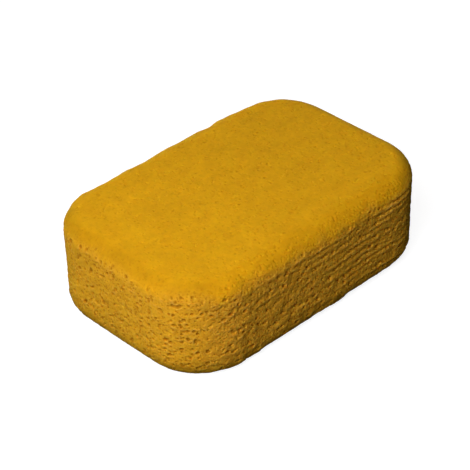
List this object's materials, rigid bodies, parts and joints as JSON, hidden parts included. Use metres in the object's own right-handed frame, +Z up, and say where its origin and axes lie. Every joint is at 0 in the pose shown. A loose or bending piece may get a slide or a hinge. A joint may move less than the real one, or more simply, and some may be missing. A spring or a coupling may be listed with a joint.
{
  "type": "grout sponge",
  "caption": "Rectangular one-piece foam sponge with large rounded corners and soft edges, for wiping grout haze off tiles.",
  "frame": {"origin": "middle of the resting face, at the bottom centre of the block", "axes": "+X along the length, +Y across the width, +Z up through the thickness"},
  "size_m": [0.1906, 0.127, 0.0603],
  "materials": {
    "foam": "matte"
  },
  "bodies": {
    "root": {"foam_block": "foam"}
  },
  "joints": []
}
